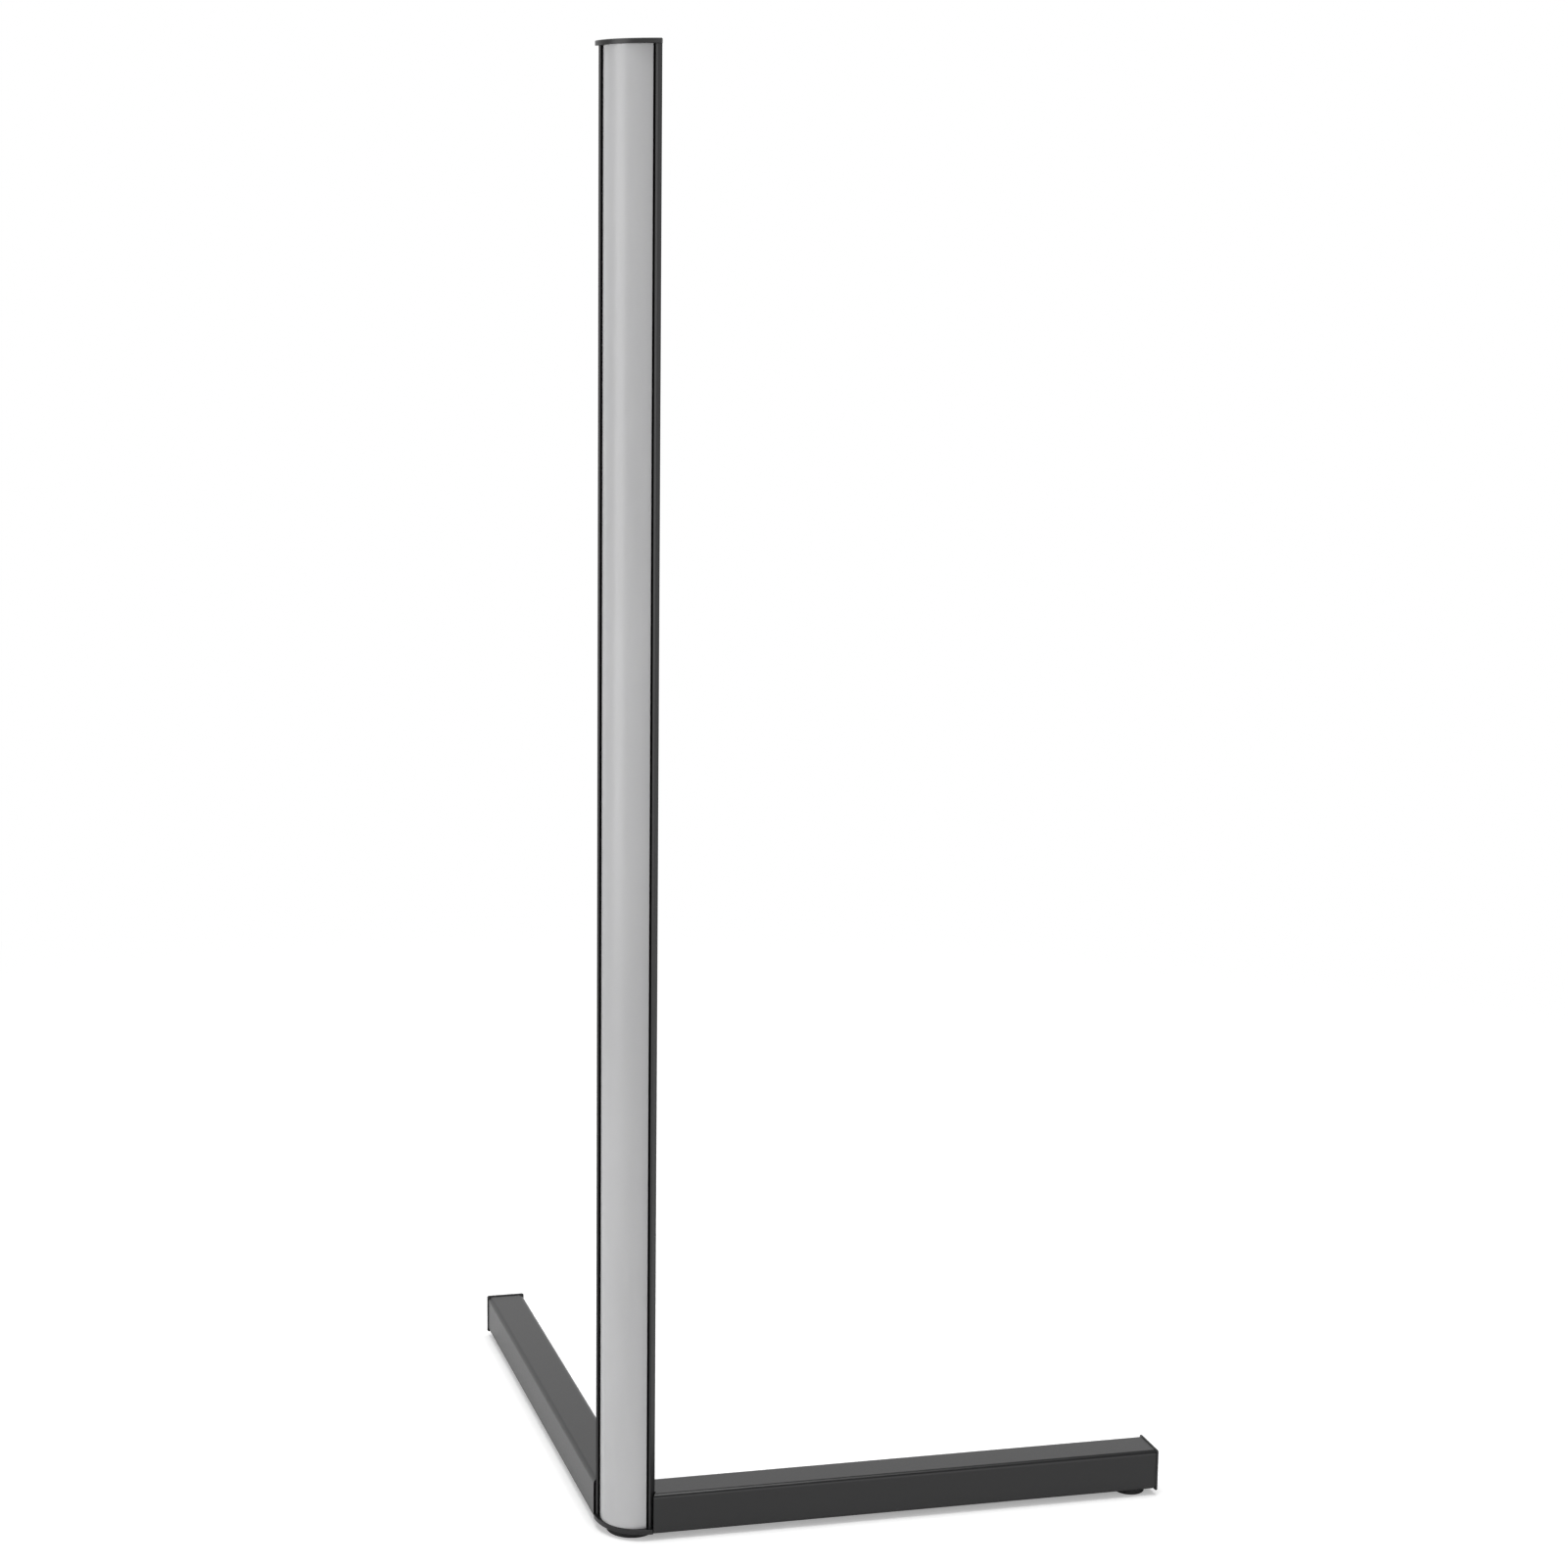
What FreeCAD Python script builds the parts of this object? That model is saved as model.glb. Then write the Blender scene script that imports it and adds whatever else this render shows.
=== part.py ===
# Corner floor lamp: a lit post that stands in the corner of two floor legs at a right angle.
# Millimetres. The origin is on the floor, where the centre lines of the legs cross: +X along
# the right leg, +Y along the left leg, +Z up. The post looks along the diagonal, out of the V.
import FreeCAD, Part
import math
import os

import Sketcher

SIZES = [
    ("overall_height", 1400, "floor to the top of the lamp"),
    ("leg_reach", 540, "crossing of the legs to the outside of an end cap"),
    ("fit_gap", 0.3, "clearance all round a piece that slips into another"),
    # base
    ("foot_height", 6, "rubber under the tubes"),
    ("tube_size", 40, "square steel tube, outside"),
    ("tube_wall", 1.5, "wall of the tube"),
    ("tube_corner", 4.5, "outside corner radius of the tube"),
    ("tube_inner_bevel", 1.8, "bevel inside the tube's corners"),
    ("notch_half", 33.6, "half the width of the tubes' notch for the post, at their outer faces"),
    ("notch_back_half", 31.2, "half the width of that notch at its back"),
    ("notch_gap", 0.4, "back of the post to the cut ends of the tubes"),
    ("mitre_gap", 0.3, "hairline between the two mitred tube ends"),
    ("cut_reach", 25, "how far the corner cut runs past a tube's middle, to clear its sides"),
    ("joint_arm", 76, "crossing of the legs to the end of the corner joint's arm"),
    ("joint_wall", 4, "upright walls of the corner joint"),
    ("joint_floor", 6, "floor of the corner joint, which takes the leg screws"),
    ("joint_front", 5, "thinnest place between a core and the post seat"),
    ("joint_rib", 3, "cross rib between the two cores of an arm"),
    ("joint_bevel", 1.8, "bevel of the joint's long edges, as in the tubes' inner corners"),
    ("spigot_root", 1, "how far the spigot runs up into the joint"),
    ("spigot_half", 4.9, "half the side of the square spigot that the corner foot's screw enters"),
    ("leg_screw_first", 45, "crossing to the first leg screw"),
    ("leg_screw_step", 18, "between the two screws of a leg"),
    # post section
    ("post_back", 13.2, "origin to the back of the post, on the diagonal"),
    ("post_width", 61, "outside width of the extrusion"),
    ("post_depth", 8.5, "back to the front lips"),
    ("post_corner", 1.2, "rounding of the back corners"),
    ("side_wall", 2.2, "side walls, which end in the front lips"),
    ("web_wall", 2, "back of the channel"),
    ("shadow_gap", 2.6, "dark groove between a lip and the diffuser"),
    ("rib_wall", 1.4, "clip ribs that the diffuser snaps over"),
    ("rib_height", 5.9, "web to the top of a clip rib"),
    ("hook_reach", 0.9, "how far a hook stands out"),
    ("hook_thick", 1.2, "thickness of a hook"),
    ("port_offset", 16, "screw ports from the middle of the post"),
    ("port_bore", 3.3, "bore of a screw port"),
    ("port_wall", 1.25, "wall of a screw port"),
    ("port_slot", 1.8, "open mouth of a screw port"),
    ("port_sink", 0.3, "how far a port's wall sinks into the back of the channel"),
    # diffuser
    ("diffuser_rise", 13.5, "how far the diffuser bulges past the lips"),
    ("diffuser_wall", 1.8, "wall of the diffuser"),
    ("clip_wall", 1.6, "legs of the diffuser"),
    ("clip_foot", 1.4, "height of the hooked end of a leg"),
    ("hook_spare", 0.2, "extra room between a hook and a leg of the diffuser"),
    # end plates
    ("top_thick", 4.5, "top cap"),
    ("top_tip", 4, "points of the top cap past the sides of the post"),
    ("bottom_thick", 5.5, "bottom plate"),
    ("bottom_tip", 2.5, "points of the bottom plate past the sides of the post"),
    ("bottom_edge", 1.5, "bevel of the bottom plate's lower edge"),
    ("plate_lip", 1, "end plates past the front of the diffuser"),
    ("tongue_height", 3, "tongue of an end plate, inside the diffuser"),
    ("tongue_flat", 24, "width of the flat at the front of that tongue"),
    # light
    ("strip_width", 12, "flexible light strip"),
    ("strip_thick", 0.5, "thickness of the strip"),
    ("strip_above_inlet", 16, "middle of the inlet to the lower end of the strip"),
    ("strip_spare", 8, "top of the strip to the top cap"),
    ("led_size", 5, "side of a light package"),
    ("led_thick", 1.6, "height of a light package"),
    ("led_pitch", 16.6, "between light packages"),
    ("led_first", 12, "lower end of the strip to the first package"),
    # power inlet
    ("inlet_height", 60, "floor to the middle of the inlet"),
    ("inlet_barrel", 7.9, "threaded barrel"),
    ("inlet_flange", 11, "outside hexagon flange, across its flats"),
    ("inlet_rim", 1.5, "thickness of the flange"),
    ("inlet_length", 11, "barrel behind the flange"),
    ("inlet_bore", 5.6, "bore for the plug"),
    ("inlet_depth", 9, "depth of the bore"),
    ("inlet_pin", 2, "contact pin"),
    ("inlet_pin_set", 1, "mouth of the bore to the tip of the pin"),
    ("inlet_nut", 10, "nut across its flats"),
    ("inlet_nut_thick", 2, "thickness of the nut"),
    ("inlet_tab_spacing", 4, "between the two solder tabs"),
    ("inlet_tab_length", 3, "solder tabs behind the barrel"),
    ("inlet_tab_width", 1.8, "width of a solder tab"),
    ("inlet_tab_thick", 0.6, "thickness of a solder tab"),
    ("lead_width", 1.4, "flat insulated lead, side to side"),
    ("lead_thick", 0.8, "thickness of a lead"),
    ("lead_rise", 5, "straight run of a lead above its tab"),
    # fasteners
    ("screw_gap", 0.1, "clearance all round a screw or a barrel in its hole"),
    ("bolt_size", 5, "post bolts, leg screws and foot screws"),
    ("bolt_length", 14, "post bolt under its head"),
    ("hex_head", 8, "hexagon head of a bolt, leg screw or foot screw, across its flats"),
    ("hex_head_thick", 2.8, "height of the hexagon head"),
    ("bolt_low", 22, "floor to the lower post bolt"),
    ("bolt_up", 15, "lower post bolt to the upper one"),
    ("leg_screw_length", 8, "leg screw under its head"),
    ("plate_screw", 3.2, "end plate screws"),
    ("plate_screw_length", 16, "end plate screw, with its head"),
    ("plate_screw_head", 6.2, "round head, sunk flush in its plate"),
    ("plate_screw_sink", 1.9, "height of that head"),
    ("plate_screw_key", 2, "hexagon socket of that head, across its flats"),
    ("plate_screw_key_depth", 1, "depth of the socket"),
    ("thread_spare", 0.8, "tapped hole past the tip of a bolt or foot screw"),
    # feet and end caps
    ("corner_foot", 47, "diameter of the foot under the post"),
    ("corner_foot_set", 18.6, "origin to the middle of the corner foot, on the diagonal"),
    ("leg_foot", 30, "diameter of a foot at a leg's end"),
    ("leg_foot_inset", 21.5, "outside of an end cap to the middle of the foot"),
    ("foot_recess", 3.4, "depth of the hexagon recess that holds the foot screw's head"),
    ("foot_screw_length", 13, "foot screw under its head"),
    ("insert_body", 7, "hexagon rivet nut where it passes the tube's wall, across its flats"),
    ("insert_bulge", 9, "upset part of the rivet nut above that wall, across its flats"),
    ("insert_length", 11, "whole length of a rivet nut"),
    ("cap_thick", 2, "plate of an end cap"),
    ("cap_proud", 1, "plate past the tube all round"),
    ("cap_corner", 2, "corner radius of that plate"),
    ("cap_plug", 12, "plug inside the tube"),
    ("cap_wall", 1.8, "wall of the plug"),
    ("cap_rib", 1.6, "cross rib in the plug"),
    ("plug_bevel", 1.8, "bevel of the plug's long edges, as in the tube's inner corners"),
]

ORIGIN = FreeCAD.Vector(0, 0, 0)
UP = FreeCAD.Vector(0, 0, 1)
ACROSS = FreeCAD.Vector(1, 0, 0)
NEAR = 0.01  # how close two places must be to count as one, when edges are picked

doc = FreeCAD.newDocument("corner_floor_lamp")
sheet = doc.addObject("Spreadsheet::Sheet", "Sizes")
for row, (name, number, meaning) in enumerate(SIZES, start=1):
    sheet.set("A%d" % row, meaning)
    sheet.set("B%d" % row, str(number))
    sheet.setAlias("B%d" % row, name)
doc.recompute()


def size(text):
    """An expression in which every size is looked up in the sheet."""
    words = sorted((name for name, number, meaning in SIZES), key=len, reverse=True)
    marked = str(text)
    for number, word in enumerate(words):
        marked = marked.replace(word, "<%d>" % number)
    for number, word in enumerate(words):
        marked = marked.replace("<%d>" % number, "Sizes." + word)
    return marked


def value(text):
    return float(sheet.evalExpression(size(text)))


# Places that several pieces share, as expressions over the sheet.
HALF_TUBE = "(tube_size / 2)"
TUBE_INSIDE = "(tube_size / 2 - tube_wall)"
SLIP = "(tube_size / 2 - tube_wall - fit_gap)"
TUBE_END = "(leg_reach - cap_thick)"
POST_BASE = "(foot_height + bottom_thick)"
POST_TOP = "(overall_height - top_thick)"
FRONT = "(post_back - post_depth)"
WEB = "(post_back - web_wall)"
HALF_POST = "(post_width / 2)"
WALL_IN = "(post_width / 2 - side_wall)"
SHADE = "(post_width / 2 - side_wall - shadow_gap)"
SHADE_IN = "(%s - clip_wall)" % SHADE
HOOK_TIP = "(%s - clip_wall - fit_gap - hook_spare)" % SHADE
RIB_OUT = "(%s - hook_reach)" % HOOK_TIP
RIB_IN = "(%s - rib_wall)" % RIB_OUT
RIB_TOP = "(%s - rib_height)" % WEB
HOOK_END = "(%s + hook_thick)" % RIB_TOP
CLIP_START = "(%s + fit_gap)" % HOOK_END
CLIP_END = "(%s + clip_foot)" % CLIP_START
PORT_Y = "(%s - port_bore / 2 - port_wall + port_sink)" % WEB
ARC = "((%s ^ 2 + diffuser_rise ^ 2) / (2 * diffuser_rise))" % SHADE
ARC_CENTRE = "(%s - diffuser_rise + %s)" % (FRONT, ARC)
ARC_IN = "(%s - diffuser_wall)" % ARC
STRIP_FACE = "(%s - strip_thick)" % WEB
STRIP_START = "(inlet_height + strip_above_inlet)"
STRIP_END = "(%s - strip_spare)" % POST_TOP
JOINT_BASE = "(foot_height + tube_wall + fit_gap)"
FOOT_XY = "(corner_foot_set * sqrt(0.5))"
LEG_FOOT = "(leg_reach - leg_foot_inset)"


def plane(body, role):
    for feature in body.Origin.OriginFeatures:
        if feature.Role == role:
            return feature


def new_body(label):
    body = doc.addObject("PartDesign::Body", label)
    body.Label = label
    return body


def new_sketch(body, role, offset="0"):
    sketch = body.newObject("Sketcher::SketchObject", body.Name + "_sketch")
    sketch.AttachmentSupport = [(plane(body, role), "")]
    sketch.MapMode = "FlatFace"
    sketch.setExpression(".AttachmentOffset.Base.z", size(offset))
    return sketch


def hold(sketch, geometry, point, across, up):
    """Ties a point of a sketch to its two coordinates."""
    for kind, text in (("DistanceX", across), ("DistanceY", up)):
        constraint = Sketcher.Constraint(kind, -1, 1, geometry, point, value(text))
        number = sketch.addConstraint(constraint)
        sketch.setExpression("Constraints[%d]" % number, size(text))


def arc_between(start, end, radius, turn):
    """The short arc from start to end; turn is 1 for anticlockwise, -1 for clockwise."""
    chord = end.sub(start)
    rise = math.sqrt(max(radius**2 - (chord.Length / 2) ** 2, 0))
    aside = FreeCAD.Vector(-chord.y, chord.x, 0).normalize() * (rise * turn)
    centre = (start + end) * 0.5 + aside
    first, last = (start, end) if turn > 0 else (end, start)
    angles = [math.atan2(p.y - centre.y, p.x - centre.x) for p in (first, last)]
    if angles[1] < angles[0]:
        angles[1] += 2 * math.pi
    return Part.ArcOfCircle(Part.Circle(centre, UP, radius), angles[0], angles[1])


def outline(sketch, corners, closed=True):
    """Draws lines between corners. A corner is (across, up), or (across, up, radius, turn)
    where the edge that leaves it is an arc."""
    places = [FreeCAD.Vector(value(c[0]), value(c[1]), 0) for c in corners]
    count = len(corners)
    ends = []
    for place in range(count if closed else count - 1):
        corner = corners[place]
        start, end = places[place], places[(place + 1) % count]
        if len(corner) == 2:
            edge = sketch.addGeometry(Part.LineSegment(start, end), False)
            ends.append((edge, 1, 2))
        else:
            radius, turn = corner[2:]
            edge = sketch.addGeometry(arc_between(start, end, value(radius), turn), False)
            ends.append((edge, 1, 2) if turn > 0 else (edge, 2, 1))
            number = sketch.addConstraint(Sketcher.Constraint("Radius", edge, value(radius)))
            sketch.setExpression("Constraints[%d]" % number, size(radius))
    for number, (edge, first, last) in enumerate(ends):
        hold(sketch, edge, first, *corners[number][:2])
        after = ends[(number + 1) % len(ends)]
        if closed or number + 1 < len(ends):
            sketch.addConstraint(Sketcher.Constraint("Coincident", edge, last, after[0], after[1]))
        else:
            hold(sketch, edge, last, *corners[number + 1][:2])


def ring(sketch, across, up, radius):
    centre = FreeCAD.Vector(value(across), value(up), 0)
    edge = sketch.addGeometry(Part.Circle(centre, UP, value(radius)), False)
    hold(sketch, edge, 3, across, up)
    number = sketch.addConstraint(Sketcher.Constraint("Radius", edge, value(radius)))
    sketch.setExpression("Constraints[%d]" % number, size(radius))


def box(sketch, left, low, right, high):
    outline(sketch, [(left, low), (right, low), (right, high), (left, high)])


def rounded_square(sketch, half, corner):
    flat = "(%s - %s)" % (half, corner)
    outline(
        sketch,
        [
            ("-" + flat, "-" + half),
            (flat, "-" + half, corner, 1),
            (half, "-" + flat),
            (half, flat, corner, 1),
            (flat, half),
            ("-" + flat, half, corner, 1),
            ("-" + half, flat),
            ("-" + half, "-" + flat, corner, 1),
        ],
    )


def bevelled_square(sketch, half, bevel):
    flat = "(%s - %s)" % (half, bevel)
    outline(
        sketch,
        [
            ("-" + flat, "-" + half),
            (flat, "-" + half),
            (half, "-" + flat),
            (half, flat),
            (flat, half),
            ("-" + flat, half),
            ("-" + half, flat),
            ("-" + half, "-" + flat),
        ],
    )


def diamond(sketch, x, y, half):
    """A square of side 2 * half with its sides along and across the diagonal."""
    reach = "((%s) * sqrt(2))" % half
    outline(
        sketch,
        [
            ("%s + %s" % (x, reach), y),
            (x, "%s + %s" % (y, reach)),
            ("%s - %s" % (x, reach), y),
            (x, "%s - %s" % (y, reach)),
        ],
    )


def hexagon(sketch, across_flats, along="0"):
    """A hexagon with two of its corners on the sketch's first axis, centred at along."""
    side = "((%s) / sqrt(3))" % across_flats
    half = "((%s) / 2)" % across_flats
    outline(
        sketch,
        [
            ("%s + %s" % (along, side), "0"),
            ("%s + %s / 2" % (along, side), half),
            ("%s - %s / 2" % (along, side), half),
            ("%s - %s" % (along, side), "0"),
            ("%s - %s / 2" % (along, side), "-" + half),
            ("%s + %s / 2" % (along, side), "-" + half),
        ],
    )


def pad(sketch, length, backwards=False):
    body = sketch.getParentGeoFeatureGroup()
    feature = body.newObject("PartDesign::Pad", body.Name + "_pad")
    feature.Profile = sketch
    feature.Reversed = backwards
    feature.setExpression("Length", size(length))
    doc.recompute()


def pocket(sketch, length=None, backwards=False):
    """Cuts against the sketch's normal, or along it when backwards. No length cuts both ways
    through everything."""
    body = sketch.getParentGeoFeatureGroup()
    before = body.Shape.Volume
    feature = body.newObject("PartDesign::Pocket", body.Name + "_pocket")
    feature.Profile = sketch
    feature.Reversed = backwards
    if length is None:
        feature.Type = "ThroughAll"
        feature.SideType = "Symmetric"
    else:
        feature.setExpression("Length", size(length))
    doc.recompute()
    if not body.Shape.Volume < before - NEAR:
        raise RuntimeError(body.Label + ": a pocket cut nothing")


def turned(body, corners):
    """Revolves an outline of (radius, height) about the body's own upright axis."""
    sketch = new_sketch(body, "XZ_Plane")
    outline(sketch, corners)
    feature = body.newObject("PartDesign::Revolution", body.Name + "_turned")
    feature.Profile = sketch
    feature.ReferenceAxis = (sketch, ["V_Axis"])
    feature.Angle = 360
    doc.recompute()


def repeat(body, axis, step, count):
    """Repeats the whole body along one of its axes."""
    body.AllowCompound = True
    feature = body.newObject("PartDesign::LinearPattern", body.Name + "_row")
    feature.TransformMode = "Whole shape"
    feature.Direction = (plane(body, axis), [""])
    feature.Mode = "Spacing"
    feature.setExpression("Offset", size(step))
    feature.setExpression("Occurrences", size(count))
    body.Tip = feature
    doc.recompute()


def set_edge(body, amount, wanted):
    """Bevels the edges of the body that the test picks."""
    names = [
        "Edge%d" % number
        for number, edge in enumerate(body.Shape.Edges, start=1)
        if wanted(edge.BoundBox)
    ]
    base = body.Tip
    feature = body.newObject("PartDesign::Chamfer", body.Name + "_edge")
    feature.Base = (base, names)
    feature.setExpression("Size", size(amount))
    body.Tip = feature
    doc.recompute()


def put(body, x="0", y="0", z="0", rotation=FreeCAD.Rotation()):
    body.Placement = FreeCAD.Placement(ORIGIN, rotation)
    for letter, text in (("x", x), ("y", y), ("z", z)):
        body.setExpression(".Placement.Base." + letter, size(text))
    doc.recompute()
    return body


POST_TURN = FreeCAD.Rotation(UP, -45)
SEAT_TURN = FreeCAD.Rotation(FreeCAD.Vector(0, 1, 0), -45)


def put_in_post(body, across="0", inward="0", z="0", rotation=FreeCAD.Rotation()):
    """Places a body in the post's own frame, across the post and inward on the diagonal."""
    x = "((%s) + (%s)) * sqrt(0.5)" % (inward, across)
    y = "((%s) - (%s)) * sqrt(0.5)" % (inward, across)
    return put(body, x, y, z, POST_TURN.multiply(rotation))


# ---- post ----


def make_post():
    """The extrusion: a shallow channel with clip ribs for the diffuser and two screw ports."""
    body = new_body("post_profile")
    section = new_sketch(body, "XY_Plane", POST_BASE)
    inner = [
        (RIB_IN, WEB),
        (RIB_IN, RIB_TOP),
        (HOOK_TIP, RIB_TOP),
        (HOOK_TIP, HOOK_END),
        (RIB_OUT, HOOK_END),
        (RIB_OUT, WEB),
        (WALL_IN, WEB),
        (WALL_IN, FRONT),
        (HALF_POST, FRONT),
    ]
    back = [
        (HALF_POST, "post_back - post_corner", "post_corner", 1),
        ("%s - post_corner" % HALF_POST, "post_back"),
        ("-(%s - post_corner)" % HALF_POST, "post_back", "post_corner", 1),
        ("-" + HALF_POST, "post_back - post_corner"),
    ]
    left = [("-" + across, up) for across, up in reversed(inner)]
    outline(section, inner + back + left)
    pad(section, "%s - %s" % (POST_TOP, POST_BASE))
    ports = new_sketch(body, "XY_Plane", POST_BASE)
    for side in ("", "-"):
        ring(ports, side + "port_offset", PORT_Y, "port_bore / 2 + port_wall")
    pad(ports, "%s - %s" % (POST_TOP, POST_BASE))
    bores = new_sketch(body, "XY_Plane", POST_BASE)
    for side in ("", "-"):
        ring(bores, side + "port_offset", PORT_Y, "port_bore / 2")
    pocket(bores)
    mouths = new_sketch(body, "XY_Plane", POST_BASE)
    for side in ("", "-"):
        box(
            mouths,
            "%sport_offset - port_slot / 2" % side,
            "%s - port_bore" % PORT_Y,
            "%sport_offset + port_slot / 2" % side,
            "%s - port_bore / 4" % PORT_Y,
        )
    pocket(mouths)
    holes = new_sketch(body, "XZ_Plane")
    for level in ("bolt_low", "bolt_low + bolt_up"):
        ring(holes, "0", level, "bolt_size / 2 + screw_gap")
    ring(holes, "0", "inlet_height", "inlet_barrel / 2 + screw_gap")
    pocket(holes)
    return put_in_post(body)


def make_diffuser():
    """The opal cover: a round bulge on two hooked legs that snap over the clip ribs."""
    body = new_body("diffuser")
    section = new_sketch(body, "XY_Plane", POST_BASE)
    root = "(%s - sqrt(%s ^ 2 - %s ^ 2))" % (ARC_CENTRE, ARC_IN, SHADE_IN)
    hook = "(%s + fit_gap)" % RIB_OUT
    outline(
        section,
        [
            ("-" + SHADE, FRONT, ARC, 1),
            (SHADE, FRONT),
            (SHADE, CLIP_END),
            (hook, CLIP_END),
            (hook, CLIP_START),
            (SHADE_IN, CLIP_START),
            (SHADE_IN, root, ARC_IN, -1),
            ("-" + SHADE_IN, root),
            ("-" + SHADE_IN, CLIP_START),
            ("-" + hook, CLIP_START),
            ("-" + hook, CLIP_END),
            ("-" + SHADE, CLIP_END),
        ],
    )
    pad(section, "%s - %s" % (POST_TOP, POST_BASE))
    return put_in_post(body)


def plate_outline(sketch, tip):
    """A plate whose front is one arc from point to point, and whose back is the post's."""
    half = "(%s + %s)" % (HALF_POST, tip)
    rise = "(diffuser_rise + plate_lip)"
    radius = "((%s ^ 2 + %s ^ 2) / (2 * %s))" % (half, rise, rise)
    outline(
        sketch,
        [
            ("-" + half, FRONT, radius, 1),
            (half, FRONT),
            (HALF_POST, "post_back"),
            ("-" + HALF_POST, "post_back"),
        ],
    )


def tongue(body, level, downwards):
    """The tongue that holds the diffuser's end in line: its corners meet the curve inside."""
    inside = "(%s - fit_gap)" % ARC_IN
    back = "(%s - fit_gap)" % RIB_TOP
    half = "sqrt(%s ^ 2 - (%s - %s) ^ 2)" % (inside, ARC_CENTRE, back)
    flat = "(tongue_flat / 2)"
    front = "(%s - sqrt(%s ^ 2 - %s ^ 2))" % (ARC_CENTRE, inside, flat)
    sketch = new_sketch(body, "XY_Plane", level)
    outline(sketch, [("-" + half, back), ("-" + flat, front), (flat, front), (half, back)])
    pad(sketch, "tongue_height", downwards)


def screw_holes(body, face, upwards):
    """Two holes over the post's screw ports, counterbored from the plate's outer face."""
    holes = new_sketch(body, "XY_Plane", face)
    for side in ("", "-"):
        ring(holes, side + "port_offset", PORT_Y, "plate_screw / 2 + screw_gap")
    pocket(holes)
    seats = new_sketch(body, "XY_Plane", face)
    for side in ("", "-"):
        ring(seats, side + "port_offset", PORT_Y, "plate_screw_head / 2 + screw_gap")
    pocket(seats, "plate_screw_sink", upwards)


def make_top_cap():
    body = new_body("top_cap")
    sketch = new_sketch(body, "XY_Plane", POST_TOP)
    plate_outline(sketch, "top_tip")
    pad(sketch, "top_thick")
    tongue(body, POST_TOP, True)
    screw_holes(body, "overall_height", False)
    return put_in_post(body)


def make_bottom_plate():
    body = new_body("bottom_plate")
    sketch = new_sketch(body, "XY_Plane", "foot_height")
    plate_outline(sketch, "bottom_tip")
    pad(sketch, "bottom_thick")
    low = value("foot_height") + NEAR
    front = value(FRONT) + NEAR
    set_edge(body, "bottom_edge", lambda room: room.ZMax < low and room.YMax < front)
    tongue(body, POST_BASE, False)
    screw_holes(body, "foot_height", True)
    return put_in_post(body)


def make_plate_screws(label, z, rotation):
    """Two self-tapping screws with round socket heads, in the screw ports of the post."""
    body = new_body(label)
    turned(
        body,
        [
            ("0", "-plate_screw_length"),
            ("plate_screw / 2", "-plate_screw_length"),
            ("plate_screw / 2", "-plate_screw_sink"),
            ("plate_screw_head / 2", "-plate_screw_sink"),
            ("plate_screw_head / 2", "0"),
            ("0", "0"),
        ],
    )
    key = new_sketch(body, "XY_Plane")
    hexagon(key, "plate_screw_key")
    pocket(key, "plate_screw_key_depth")
    repeat(body, "X_Axis", "2 * port_offset", "2")
    return put_in_post(body, "-port_offset", PORT_Y, z, rotation)


# ---- light and power ----


def make_light_strip():
    body = new_body("light_strip")
    sketch = new_sketch(body, "XY_Plane", STRIP_START)
    box(sketch, "-strip_width / 2", STRIP_FACE, "strip_width / 2", WEB)
    pad(sketch, "%s - %s" % (STRIP_END, STRIP_START))
    return put_in_post(body)


def make_light_packages():
    body = new_body("light_packages")
    sketch = new_sketch(body, "XZ_Plane", "-" + STRIP_FACE)
    low = "(%s + led_first)" % STRIP_START
    box(sketch, "-led_size / 2", low, "led_size / 2", low + " + led_size")
    pad(sketch, "led_thick")
    run = "(%s - %s - led_size)" % (STRIP_END, low)
    repeat(body, "Z_Axis", "led_pitch", "floor(%s / led_pitch) + 1" % run)
    return put_in_post(body)


INLET_TURN = FreeCAD.Rotation(ACROSS, -90)


def make_power_inlet():
    """The barrel socket in the back of the post, with its contact pin and solder tabs."""
    body = new_body("power_inlet")
    floor = "(inlet_rim - inlet_depth)"
    turned(
        body,
        [
            ("0", "-inlet_length"),
            ("inlet_barrel / 2", "-inlet_length"),
            ("inlet_barrel / 2", "inlet_rim"),
            ("inlet_bore / 2", "inlet_rim"),
            ("inlet_bore / 2", floor),
            ("inlet_pin / 2", floor),
            ("inlet_pin / 2", "inlet_rim - inlet_pin_set"),
            ("0", "inlet_rim - inlet_pin_set"),
        ],
    )
    flange = new_sketch(body, "XY_Plane")
    hexagon(flange, "inlet_flange")
    ring(flange, "0", "0", "inlet_bore / 2")
    pad(flange, "inlet_rim")
    tabs = new_sketch(body, "XY_Plane", "-inlet_length")
    for side in ("", "-"):
        middle = "%sinlet_tab_spacing / 2" % side
        wide, thick = "inlet_tab_width / 2", "inlet_tab_thick / 2"
        box(tabs, "%s - %s" % (middle, wide), "-" + thick, "%s + %s" % (middle, wide), thick)
    pad(tabs, "inlet_tab_length", True)
    return put_in_post(body, "0", "post_back", "inlet_height", INLET_TURN)


def make_inlet_nut():
    body = new_body("inlet_nut")
    sketch = new_sketch(body, "XY_Plane")
    hexagon(sketch, "inlet_nut")
    ring(sketch, "0", "0", "inlet_barrel / 2 + screw_gap")
    pad(sketch, "inlet_nut_thick", True)
    return put_in_post(body, "0", WEB, "inlet_height", INLET_TURN)


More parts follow.
